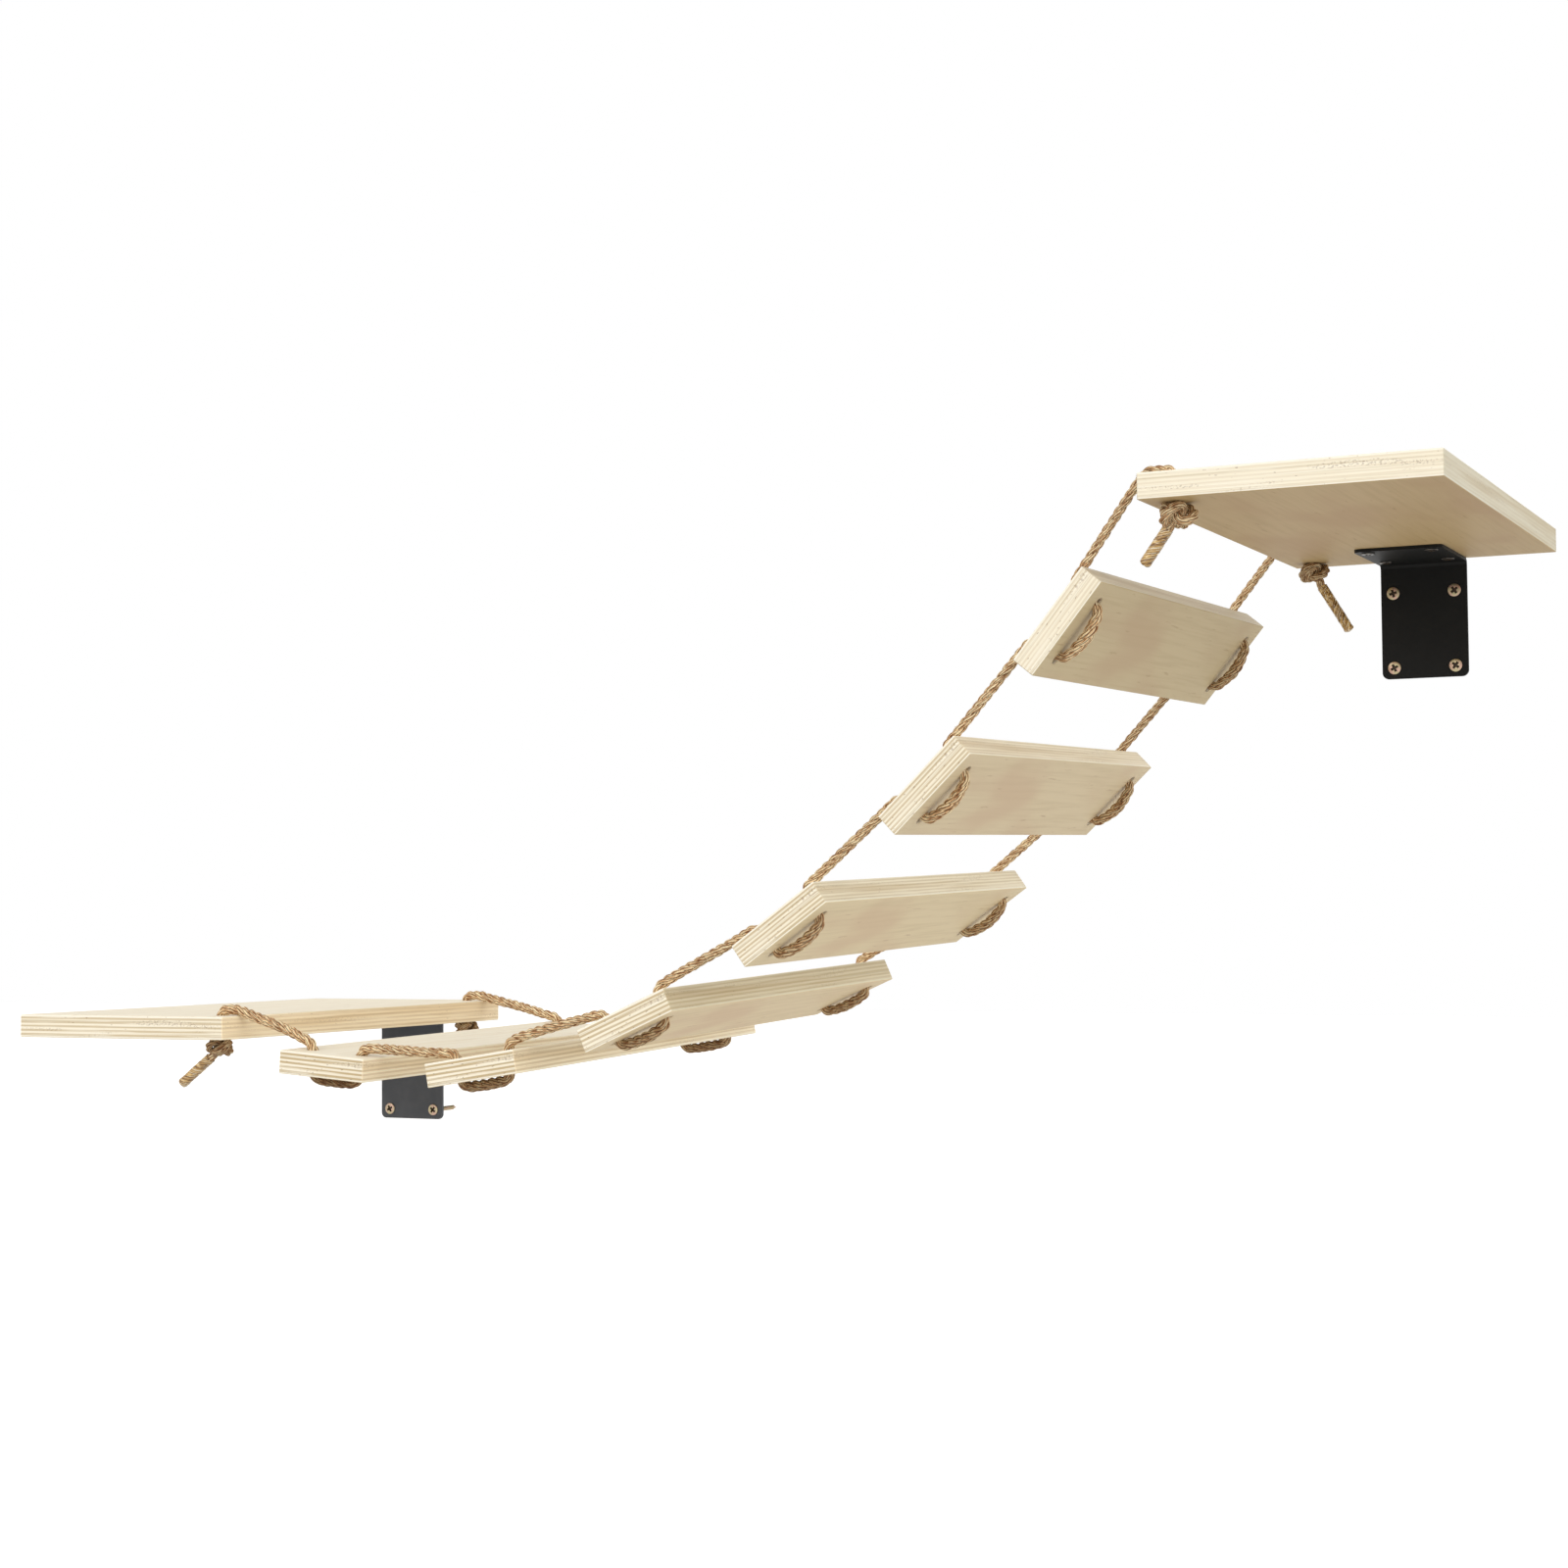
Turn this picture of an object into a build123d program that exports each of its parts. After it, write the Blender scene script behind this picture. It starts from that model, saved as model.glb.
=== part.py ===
from build123d import *
import math
import os

# A wall bridge: two platforms on folded brackets, and six wooden treads that hang
# between them on two ropes. X runs along the wall towards the raised platform, Y into
# the wall and Z up. The origin is the middle of the lower bracket's four wall screws,
# on the face of the wall. All sizes are in millimetres and all angles in degrees.

# Boards
board_thickness = 18.0
board_edge_easing = 0.8
platform_depth = 400.0
platform_width = 200.0
tread_setback = 4.0
tread_width = 78.0
platform_gap = 740.0
platform_rise = 363.0

# Each tread's place, from the highest to the lowest: how far along the gap and up the
# rise its middle hangs, how steeply its edge on the upper side is raised, how much its
# wall end is raised, and how far it is turned seen from above
tread_along_shares = (0.922, 0.791, 0.6415, 0.475, 0.300, 0.1277)
tread_up_shares = (0.750, 0.459, 0.2055, 0.019, -0.082, -0.091)
tread_pitches = (50.3, 43.4, 35.0, 23.3, 9.0, -4.2)
tread_rolls = (1.0, 1.3, 1.8, 1.9, 1.8, 1.0)
tread_yaws = (0.0, 0.0, 0.0, 0.0, 0.0, -1.6)

# Ropes and the holes that they pass
rope_diameter = 6.0
rope_hole_diameter = 9.0
rope_hole_mouth_easing = 0.4
rope_end_inset = 20.0
rope_hole_spacing = 46.0
platform_hole_inset = 20.0
rope_seat_gap = 0.3

# How the ropes lie on each tread, measured to the middle of the rope: above its face at
# the holes and towards the long edges, and below it where the loop turns and hangs
rope_lift = 4.5
rope_edge_reach = 13.5
rope_entry_lifts = (5.2, 5.2, 5.4, 7.0, 8.5, 6.4)
rope_exit_lifts = (5.2, 5.0, 5.0, 7.6, 5.6, 6.0)
loop_turn_drop = 3.0
loop_side_inset = 9.0
loop_side_drop = 6.0
loop_middle_drop = 8.2
turn_radius_limit = 6.0
sharp_turn = 45.0

# Stopper knots, and the taped tails below them: each tail's reach from its knot's
# middle, and how far it swings out along the wall from hanging straight down
knot_width = 26.0
knot_height = 17.0
knot_flat = 1.5
knot_lean = 26.0
knot_wraps = 3
tail_reaches = {"upper_front": 36.0, "upper_back": 50.0, "lower_front": 42.0, "lower_back": 40.0}
tail_swings = {"upper_front": -36.0, "upper_back": 31.0, "lower_front": -53.0, "lower_back": 38.0}
tail_grip = 4.0
tape_wall = 0.4
tape_share = 0.6
tape_end_wall = 1.2

# Folded brackets
bracket_plate = 2.5
bracket_width = 66.0
bracket_leg = 91.0
bracket_bend_radius = 3.0
bracket_corner_radius = 5.0
bracket_offset = 8.0
screw_spacing = 47.0
screw_row_spacing = 58.0
screw_row_inset = 24.5

# Countersunk screws
screw_shank_diameter = 4.2
screw_head_diameter = 10.0
screw_head_rim = 0.6
screw_head_stand = 0.45
screw_head_easing = 0.2
screw_tip = 4.0
wall_screw_length = 38.0
shelf_screw_length = 17.0
recess_span = 5.4
recess_width = 1.4
recess_depth = 1.7
recess_taper = 12.0
screw_clearance = 0.05
cut_overrun = 1.0

# Where the platforms stand
lower_underside = screw_row_spacing / 2 + screw_row_inset
lower_top = lower_underside + board_thickness
lower_middle = -bracket_offset
lower_edge = lower_middle + platform_width / 2
upper_top = lower_top + platform_rise
upper_underside = upper_top - board_thickness
upper_edge = lower_edge + platform_gap
upper_middle = upper_edge + platform_width / 2
board_middle = -platform_depth / 2
tread_length = platform_depth - 2 * tread_setback
rope_reach = tread_length / 2 - rope_end_inset
rope_sides = {"front": board_middle - rope_reach, "back": board_middle + rope_reach}


def eased_board(along, out):
    """A plywood board about its own middle, with its edges eased."""
    board = Box(along, out, board_thickness)
    return fillet(board.edges(), board_edge_easing)


def rope_holes(board, places):
    """The board with a rope hole through it at each place, its mouths eased."""
    radius = rope_hole_diameter / 2
    mouth = Cone(radius, radius + rope_hole_mouth_easing, rope_hole_mouth_easing)
    rise = (board_thickness - rope_hole_mouth_easing) / 2
    drill = Cylinder(radius, board_thickness + cut_overrun)
    drill = drill + Pos(0, 0, rise) * mouth + Pos(0, 0, -rise) * Rot(X=180) * mouth
    for place in places:
        board = board - Pos(*place, 0) * drill
    return board


def pilot_holes(board, places):
    """The board with blind holes in its underside for the shelf screws."""
    radius = screw_shank_diameter / 2 + screw_clearance
    depth = shelf_screw_length - bracket_plate + screw_clearance
    underside = -board_thickness / 2
    for place in places:
        board = board - Pos(*place, underside + depth / 2) * Cylinder(radius, depth)
    return board


def screw_places():
    """The four screws of one bracket leg, across and away from the fold."""
    rows = (screw_row_inset, screw_row_inset + screw_row_spacing)
    return [(side * screw_spacing / 2, row) for row in rows for side in (-1, 1)]


def platform(middle, top, hole_side, bracket_shift):
    """A platform with two rope holes beside the gap and pilots over its bracket."""
    hole_along = hole_side * (platform_width / 2 - platform_hole_inset)
    board = eased_board(platform_width, platform_depth)
    board = rope_holes(board, [(hole_along, y - board_middle) for y in rope_sides.values()])
    pilots = [(across + bracket_shift, platform_depth / 2 - row) for across, row in screw_places()]
    board = pilot_holes(board, pilots)
    return Pos(middle, board_middle, top - board_thickness / 2) * board


def tread_place(number):
    """Where tread `number` hangs, counted from 0 at the top."""
    along = lower_edge + tread_along_shares[number] * platform_gap
    up = lower_top + tread_up_shares[number] * platform_rise
    tilt = Rot(X=tread_rolls[number]) * Rot(Y=-tread_pitches[number])
    return Pos(along, board_middle, up) * Rot(Z=tread_yaws[number]) * tilt


def tread(number):
    """A tread with two rope holes at each end."""
    board = eased_board(tread_width, tread_length)
    places = [
        (side * rope_hole_spacing / 2, end * rope_reach) for end in (-1, 1) for side in (-1, 1)
    ]
    return tread_place(number) * rope_holes(board, places)


def seat_cone(clearance):
    """The screw head's cone, down from the plate's face, grown by a clearance."""
    top = screw_head_diameter / 2 + clearance
    foot = screw_shank_diameter / 2 + clearance
    cone = Cone(foot, top, top - foot)
    return Pos(0, 0, screw_head_stand - (top - foot) / 2) * cone


def screw_seat():
    """What a screw cuts out of the bracket's plate, with the plate's face at Z 0."""
    shank = Cylinder(screw_shank_diameter / 2 + screw_clearance, bracket_plate * 2 + cut_overrun)
    return seat_cone(screw_clearance) + Pos(0, 0, -bracket_plate) * shank


def screw(length):
    """A countersunk cross-head screw, its plate's face at Z 0 and its tip below."""
    shank_radius = screw_shank_diameter / 2
    stand = screw_head_stand + screw_head_rim
    rim = Pos(0, 0, stand - screw_head_rim / 2) * Cylinder(screw_head_diameter / 2, screw_head_rim)
    shank = Pos(0, 0, -(length - screw_tip) / 2) * Cylinder(shank_radius, length - screw_tip)
    tip = Pos(0, 0, -length + screw_tip / 2) * Cone(0, shank_radius, screw_tip)
    body = rim + seat_cone(0) + shank + tip
    crown = body.faces().sort_by(Axis.Z)[-1]
    body = fillet(crown.edges(), screw_head_easing)
    cross = Rectangle(recess_span, recess_width) + Rectangle(recess_width, recess_span)
    return body - extrude(Pos(0, 0, stand) * cross, -recess_depth, taper=recess_taper)


def leg_turn(face):
    """Turns a screw or its seat from lying in the wall leg's frame to its leg."""
    return Rot(X=90) if face == "wall" else Rot(X=180)


def leg_places():
    """Each screw's place on a bracket: those in the wall, then those in the shelf."""
    wall = [(across, -bracket_plate, lower_underside - row) for across, row in screw_places()]
    shelf = [(across, -row, lower_underside - bracket_plate) for across, row in screw_places()]
    return {"wall": wall, "shelf": shelf}


def bracket():
    """One plate folded square, with rounded free corners and eight screw seats."""
    foot = lower_underside - bracket_leg
    outline = Polyline(
        (0, foot),
        (0, lower_underside),
        (-bracket_leg, lower_underside),
        (-bracket_leg, lower_underside - bracket_plate),
        (-bracket_plate, lower_underside - bracket_plate),
        (-bracket_plate, foot),
        close=True,
    )
    plate = extrude(Plane.YZ * make_face(outline), bracket_width / 2, both=True)
    folds = plate.edges().filter_by(Axis.X)
    outer = folds.sort_by_distance((0, 0, lower_underside))[0]
    inner = folds.sort_by_distance((0, -bracket_plate, lower_underside - bracket_plate))[0]
    plate = fillet(outer, bracket_bend_radius + bracket_plate)
    inner = plate.edges().filter_by(Axis.X).sort_by_distance(inner.center())[0]
    plate = fillet(inner, bracket_bend_radius)
    corners = plate.edges().filter_by(Axis.Y).group_by(Axis.Z)[0]
    corners = corners + plate.edges().filter_by(Axis.Z).group_by(Axis.Y)[0]
    plate = fillet(corners, bracket_corner_radius)
    for face, places in leg_places().items():
        for place in places:
            plate = plate - Pos(*place) * leg_turn(face) * screw_seat()
    return plate


def screws(face, length):
    """The four screws through one leg of a bracket."""
    return [Pos(*place) * leg_turn(face) * screw(length) for place in leg_places()[face]]


def threading(number, end):
    """The rope's points through one tread, from its raised edge to its low one."""
    half = board_thickness / 2
    pulled = (rope_hole_diameter - rope_diameter) / 2 - rope_seat_gap
    hole = rope_hole_spacing / 2 - pulled
    side = hole - loop_side_inset
    edge = hole + rope_edge_reach
    points = [
        (edge, half + rope_entry_lifts[number]),
        (hole, half + rope_lift),
        (hole, -half - loop_turn_drop),
        (side, -half - loop_side_drop),
        (0, -half - loop_middle_drop),
        (-side, -half - loop_side_drop),
        (-hole, -half - loop_turn_drop),
        (-hole, half + rope_lift),
        (-edge, half + rope_exit_lifts[number]),
    ]
    place = tread_place(number)
    return [(place * Pos(u, end * rope_reach, n)).position for u, n in points]


# Each rope's own points beyond the treads, from the facing platform's top edge: how
# far along the wall and how far above the top. The first two points of the upper run
# and the last two of the lower ones lie in and over the platform's rope hole, and the
# lower ones start over the last tread's edge.
upper_run = ((20.0, -18.0), (20.0, 3.4), (10.0, 4.7), (-0.8, 4.6), (-6.0, -1.6))
lower_starts = {
    "front": ((56.0, -15.5), (40.0, -8.6), (22.0, -3.4), (8.4, 0.9), (-2.6, 4.6)),
    "back": ((63.0, -11.5), (46.0, -6.8), (28.0, -2.6), (9.0, 1.4), (-3.0, 4.6)),
}
lower_finish = ((-11.0, 5.0), (-20.0, 3.4), (-20.0, -18.0))


def route(side):
    """The middle of one rope, from the upper knot through every tread to the lower."""
    y = rope_sides[side]
    end = -1 if side == "front" else 1
    points = [Vector(upper_edge + along, y, upper_top + up) for along, up in upper_run]
    for number in range(len(tread_pitches)):
        points += threading(number, end)
    points.pop()
    lower_run = lower_starts[side] + lower_finish
    points += [Vector(lower_edge + along, y, lower_top + up) for along, up in lower_run]
    return points


def arc_radii(points):
    """Each corner's radius: what its runs allow, within what a rope hole leaves."""
    radii = []
    for before, corner, after in zip(points, points[1:], points[2:]):
        turn = (corner - before).get_angle(after - corner)
        shorter = min((corner - before).length, (after - corner).length)
        allowed = 0.45 * shorter / math.tan(math.radians(turn / 2))
        radii.append(min(allowed, turn_radius_limit) if turn > sharp_turn else allowed)
    return radii


def rope(side):
    """One rope as a single tube, from just below one platform to just below the other."""
    points = route(side)
    radii = arc_radii(points)
    path = FilletPolyline(*points, radius=radii)
    start = Plane(origin=path @ 0, z_dir=path % 0)
    tube = sweep(start * Circle(rope_diameter / 2), path=path)
    section = math.pi * rope_diameter**2 / 4
    print(f"{side} rope: {path.length:.1f} mm, radii", " ".join(f"{radius:.1f}" for radius in radii))
    print(f"{side} rope: volume over section times length {tube.volume / section / path.length:.4f}")
    return tube


def tail_run(name, start, stop, radius):
    """A straight round length of a tail, between two distances from its knot's middle."""
    middle = -(start + stop) / 2
    return Rot(Y=-tail_swings[name]) * Pos(0, 0, middle) * Cylinder(radius, stop - start)


def knot_core():
    """The radius of the knot's round middle."""
    return (knot_height + knot_flat) / 2


def knot(name):
    """A stopper knot about its own middle: leaning wraps, a flat top and its tail's seat."""
    radius = rope_diameter / 2
    solid = Sphere(knot_core())
    for turn in range(knot_wraps):
        wrap = Torus(knot_width / 2 - radius, radius)
        solid = solid + Rot(Z=turn * 360 / knot_wraps) * Rot(X=knot_lean) * wrap
    over = knot_core() - knot_flat + knot_width / 2
    above = Pos(0, 0, over) * Box(knot_width, knot_width, knot_width)
    return solid - above - tail(name)


def tail(name):
    """The rope's bare end below its knot."""
    start = knot_core() - tail_grip
    return tail_run(name, start, tail_reaches[name] - tape_end_wall, rope_diameter / 2)


def tape(name):
    """The clear tape wound round a tail's end and folded over its tip."""
    reach = tail_reaches[name]
    start = reach - tape_share * (reach - knot_core())
    sleeve = tail_run(name, start, reach, rope_diameter / 2 + tape_wall)
    tip = sleeve.faces().filter_by(GeomType.PLANE).sort_by(Axis.Z)[0]
    return fillet(tip.edges(), tape_end_wall) - tail(name)


def knot_place(name):
    """The middle of a knot, below the platform that it holds the rope under."""
    height, side = name.split("_")
    drop = rope_seat_gap + knot_core() - knot_flat
    if height == "upper":
        return Pos(upper_edge + platform_hole_inset, rope_sides[side], upper_underside - drop)
    return Pos(lower_edge - platform_hole_inset, rope_sides[side], lower_underside - drop)


def node(name, shape):
    """Writes one node's file."""
    export_step(shape, f"parts/{name}.step")


def build():
    os.makedirs("parts", exist_ok=True)
    lift = Pos(upper_middle, 0, platform_rise)
    node("lower_platform", platform(lower_middle, lower_top, 1, bracket_offset))
    node("upper_platform", platform(upper_middle, upper_top, -1, 0))
    for number in range(len(tread_pitches)):
        node(f"tread_{number + 1}", tread(number))
    node("lower_bracket", bracket())
    node("upper_bracket", lift * bracket())
    for face, length in (("wall", wall_screw_length), ("shelf", shelf_screw_length)):
        node(f"lower_{face}_screws", Compound(screws(face, length)))
        node(f"upper_{face}_screws", Compound([lift * one for one in screws(face, length)]))
    for side in rope_sides:
        node(f"rope_{side}", rope(side))
    for name in tail_reaches:
        node(f"{name}_knot", knot_place(name) * knot(name))
        node(f"{name}_rope_end", knot_place(name) * tail(name))
        node(f"{name}_tape", knot_place(name) * tape(name))


build()
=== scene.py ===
import bpy
import math
import random
from mathutils import Matrix, Vector


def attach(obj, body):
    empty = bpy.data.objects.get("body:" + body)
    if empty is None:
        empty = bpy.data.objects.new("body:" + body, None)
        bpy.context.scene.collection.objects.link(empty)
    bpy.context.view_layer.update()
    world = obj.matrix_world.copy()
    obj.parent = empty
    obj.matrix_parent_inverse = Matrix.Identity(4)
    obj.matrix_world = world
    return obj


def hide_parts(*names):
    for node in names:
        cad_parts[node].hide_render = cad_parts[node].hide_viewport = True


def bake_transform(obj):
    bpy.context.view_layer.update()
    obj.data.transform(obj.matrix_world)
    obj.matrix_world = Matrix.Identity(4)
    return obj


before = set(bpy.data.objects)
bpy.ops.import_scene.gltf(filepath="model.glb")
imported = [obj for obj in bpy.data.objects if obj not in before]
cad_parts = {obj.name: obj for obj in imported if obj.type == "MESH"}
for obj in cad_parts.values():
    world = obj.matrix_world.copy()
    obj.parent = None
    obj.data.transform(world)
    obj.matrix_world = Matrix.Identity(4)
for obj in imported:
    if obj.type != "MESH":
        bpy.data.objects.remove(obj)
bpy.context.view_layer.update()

# A wall bridge: two plywood platforms on folded brackets, and six plywood treads that
# hang between them on two jute ropes. Sizes are in metres and angles in degrees.

# Boards, and where the platforms and treads lie
board_thickness = 0.018
board_half = board_thickness / 2
platform_depth = 0.400
platform_width = 0.200
tread_length = 0.392
tread_width = 0.078
platform_gap = 0.740
platform_rise = 0.363
lower_underside = 0.0535
lower_top = lower_underside + board_thickness
lower_middle = -0.008
lower_edge = lower_middle + platform_width / 2
upper_top = lower_top + platform_rise
upper_underside = upper_top - board_thickness
upper_edge = lower_edge + platform_gap
upper_middle = upper_edge + platform_width / 2
board_middle = -platform_depth / 2
tread_along_shares = (0.922, 0.791, 0.6415, 0.475, 0.300, 0.1277)
tread_up_shares = (0.750, 0.459, 0.2055, 0.019, -0.082, -0.091)
tread_pitches = (50.3, 43.4, 35.0, 23.3, 9.0, -4.2)
tread_rolls = (1.0, 1.3, 1.8, 1.9, 1.8, 1.0)
tread_yaws = (0.0, 0.0, 0.0, 0.0, 0.0, -1.6)
tread_count = len(tread_pitches)

# Ropes, and how they lie on each tread: their heights above its top where they come and
# go, and how far their loops hang below it
rope_diameter = 0.006
rope_hole_diameter = 0.009
rope_hole_spacing = 0.046
rope_reach = tread_length / 2 - 0.020
platform_hole_inset = 0.020
rope_seat_gap = 0.0003
rope_lift = 0.0045
rope_edge_reach = 0.0135
rope_entry_lifts = (0.0052, 0.0052, 0.0054, 0.0070, 0.0085, 0.0064)
rope_exit_lifts = (0.0052, 0.0050, 0.0050, 0.0076, 0.0056, 0.0060)
loop_turn_drop = 0.003
loop_side_inset = 0.009
loop_side_drops = (0.0060, 0.0060, 0.0058, 0.0050, 0.0043, 0.0043)
loop_middle_drops = (0.0082, 0.0082, 0.0078, 0.0062, 0.0045, 0.0045)
rope_offsets = {"front": -rope_reach, "back": rope_reach}
rope_sides = {side: board_middle + offset for side, offset in rope_offsets.items()}

# How much painted shade darkens the rope in each loop under its tread, how far that reaches
# from a loop's middle, and how much painted shade darkens the back rope between the two highest treads
loop_shades = {"front": (0.0, 0.0, 0.25, 0.55, 0.8, 1.0), "back": (0.4, 0.15, 0.3, 0.55, 0.8, 1.0)}
loop_reach = 0.030
back_run_shade = 0.4

# The lay of the rope: three strands, each of a few yarns, and how thick it looks where
# it is pulled tight, where it hangs slack and where it turns under a tread
strand_count = 3
rope_step = 0.001
strand_sides = 24
strand_offset_share = 0.23
lay_length = 0.0205
yarn_count = 6
yarn_turn_length = 0.016
yarn_relief = 0.10
tight_width = 0.0062
slack_width = 0.0083
loop_width = 0.0086
loop_spread = 0.016
line_resolution = 24
lay_map_scale = 100
strand_map_gap = 7

# How unevenly a strand lies, as the size of each wobble and its waves along the rope
turn_wobble = (0.12, 130)
offset_wobble = (0.05, 210)
width_wobble = (0.04, 330)

# Loose fibres: how many, and how they stand off the strands
rope_seeds = {"front": 11, "back": 12}
fibres_per_step = 3
knot_fibres = 240
tail_fibres = 14
fibre_spans = (2, 6)
fibre_end_room = 8
fibre_drift = 2
fibre_rings = 4
fibre_sides = 3
fibre_lifts = (0.0003, 0.0012)
fibre_lift_power = 1.4
fibre_curl = 0.0012
fibre_thicknesses = (0.00004, 0.00009)
fibre_root_share = 1.15
fibre_taper = 0.8
fibre_map_spread = 40

# Stopper knots, and the taped tails below them
knot_height = 0.017
knot_flat = 0.0015
knot_core = (knot_height + knot_flat) / 2
knot_clearance = 0.0001
tail_grip = 0.004
tape_share = 0.94
tape_end_wall = 0.0012

# Each knot's bearing, size and painted shade, then its tail's reach from the knot's middle and
# how far it swings out along the wall from hanging straight down
rope_ends = {
    "upper_front": (0.6, 1.0, 0.0, 0.040, -36.0),
    "upper_back": (2.4, 0.88, 0.35, 0.0535, 31.0),
    "lower_front": (4.0, 0.82, 0.5, 0.047, -53.0),
    "lower_back": (5.2, 0.85, 0.5, 0.040, 38.0),
}

# How the rope runs in a knot: it comes down the middle, winds over and through the ball
# and leaves below as the tail
knot_rope_width = 0.0068
knot_ring = 0.0071
knot_wrap = 0.0041
knot_rise = 0.0056
knot_turns = 4
knot_turn_steps = 10
knot_advance_share = 0.64
knot_start_share = 0.3
knot_lead = 0.009
tail_width = 0.0068
tail_ease = 0.008
tail_shares = (0.18, 0.32, 0.55, 0.78, 1.0)

# The tape round each tail
tape_wall = 0.0004
tape_radius = 0.0045
tape_tip = 0.0024
tape_tip_shares = ((0.35, 0.97), (0.65, 0.86), (0.88, 0.62), (1.0, 0.28))
tape_valley_share = 0.93
tape_valley_level = -0.4
tape_sides = 24
tape_rings = 18
tape_map_width = 3
crumple_grain = 0.0030
crumple_depth = 0.0009
tape_smooth_angle = 50

# Brackets and screws
bracket_plate = 0.0025
screw_spacing = 0.047
screw_row_spacing = 0.058
screw_row_inset = 0.0245
screw_shank_width = 0.0042
screw_head_width = 0.010
screw_head_rim = 0.0006
screw_head_stand = 0.00045
screw_head_easing = 0.0003
screw_easing_share = 0.3
screw_crown = 0.00025
screw_crown_shares = ((0.7, 0.72), (1.0, 0.45))
screw_neck = 0.0012
screw_neck_share = 0.6
screw_tip = 0.004
screw_point_share = 0.12
screw_foot = screw_head_stand - (screw_head_width - screw_shank_width) / 2
screw_face = screw_head_stand + screw_head_rim
screw_top = screw_face + screw_crown
wall_screw_length = 0.038
shelf_screw_length = 0.017
recess_span = 0.0064
recess_width = 0.0021
recess_depth = 0.0017
recess_bar_share = 1.5
recess_taper_share = 0.7
# How deep the painted shade inside the cross reaches, as shares of its depth
recess_shade_shares = (1.3, 0.08)
thread_depth = 0.0007
screw_core = screw_shank_width / 2 - thread_depth
thread_width_share = 0.85
thread_sink_share = 0.15
thread_pitch = 0.0021
thread_steps = 14
screw_sides = 32
screw_smooth_angle = 40
screw_turns = (14.0, 38.0, 27.0, 52.0)
quarter_turn = math.radians(90)
level_enough = 0.9

# The camera
camera_place = (1.37614, -2.05911, 0.14811)
camera_yaw = 25.804
camera_pitch = 2.775
camera_roll = -0.4445
camera_lens = 61.05
camera_sensor = 36

# Light and floor: the two soft suns' strengths, directions and spreads
ambient = 0.55
key_sun = (1.50, (0.12, 0.86, -0.50), 50)
fill_sun = (1.76, (-1.0, 0.0, -0.10), 60)
floor_height = -0.75
floor_size = 40.0
floor_tone = (0.72, 0.71, 0.69, 1)
floor_roughness = 0.9
floor_glow = 0.5


def paint(red, green, blue):
    """A colour as it looks on screen, 0 to 255, in the shader's linear values, by sRGB's formula."""
    linear = []
    for value in (red, green, blue):
        share = value / 255
        linear.append(((share + 0.055) / 1.055) ** 2.4 if value > 10 else share / 12.92)
    return (*linear, 1.0)


def turned(degrees, axis):
    """A turn about one axis."""
    return Matrix.Rotation(math.radians(degrees), 4, axis)


# Helpers for finishes

def new_material(name):
    """A fresh finish and its shader."""
    finish = bpy.data.materials.new(name)
    finish.use_nodes = True
    return finish, finish.node_tree.nodes["Principled BSDF"]


def add(finish, kind, **settings):
    """A shader node of a finish or the world, with some settings."""
    made = finish.node_tree.nodes.new(f"ShaderNode{kind}")
    for name, value in settings.items():
        setattr(made, name, value)
    return made


def join(finish, source, target):
    """Joins an output to an input, or writes a plain value into it."""
    if isinstance(source, bpy.types.NodeSocket):
        finish.node_tree.links.new(source, target)
    else:
        target.default_value = source


def maths(finish, operation, *values):
    """The result of a math node on two or three values."""
    made = add(finish, "Math", operation=operation)
    for value, socket in zip(values, made.inputs):
        join(finish, value, socket)
    return made.outputs[0]


def between(finish, value, low, high, out_low=0.0, out_high=1.0):
    """The value spread smoothly from one range to another."""
    made = add(finish, "MapRange", interpolation_type="SMOOTHSTEP")
    for source, socket in zip((value, low, high, out_low, out_high), made.inputs):
        join(finish, source, socket)
    return made.outputs[0]


def mixed(finish, share, first, second, blend="MIX"):
    """Two colours mixed by a share, through the Mix node's sockets for colours."""
    made = add(finish, "Mix", data_type="RGBA", blend_type=blend)
    for value, socket in ((share, 0), (first, 6), (second, 7)):
        join(finish, value, made.inputs[socket])
    return made.outputs[2]


def noise(finish, place, stretch, scale, detail, roughness=0.5):
    """Noise at a place, its grains stretched by three factors."""
    spread = add(finish, "Mapping")
    join(finish, place, spread.inputs["Vector"])
    spread.inputs["Scale"].default_value = stretch
    made = add(finish, "TexNoise")
    join(finish, spread.outputs[0], made.inputs["Vector"])
    made.inputs["Scale"].default_value = scale
    made.inputs["Detail"].default_value = detail
    made.inputs["Roughness"].default_value = roughness
    return made.outputs["Fac"]


def spots(finish, place, pattern):
    """Where a pattern shows: a noise, the levels that it fades in between and its share."""
    *grain, low, high, share = pattern
    return between(finish, noise(finish, place, *grain), low, high, 0.0, share)


def on_object(finish):
    """The object's own coordinates."""
    return add(finish, "TexCoord").outputs["Object"]


def parts_of(finish, place):
    """The three parts of a place."""
    made = add(finish, "SeparateXYZ")
    join(finish, place, made.inputs[0])
    return made.outputs


def ramp(finish, share, stops):
    """A colour read from stops of share and colour."""
    made = add(finish, "ValToRGB")
    stop_list = made.color_ramp.elements
    for index, (at, tone) in enumerate(stops):
        stop = stop_list[index] if index < 2 else stop_list.new(at)
        stop.position = at
        stop.color = tone
    join(finish, share, made.inputs[0])
    return made.outputs[0]


def bump(finish, shader, height, depth, strength):
    """Raises the surface by a height map, up to a depth in metres."""
    made = add(finish, "Bump")
    made.inputs["Strength"].default_value = strength
    made.inputs["Distance"].default_value = depth
    join(finish, height, made.inputs["Height"])
    join(finish, made.outputs[0], shader.inputs["Normal"])


def colour(finish, shader, tone, roughness, mirror=0.5):
    """Gives a finish its tone, how rough it is and how strongly it mirrors."""
    join(finish, tone, shader.inputs["Base Color"])
    shader.inputs["Roughness"].default_value = roughness
    shader.inputs["Specular IOR Level"].default_value = mirror
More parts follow.
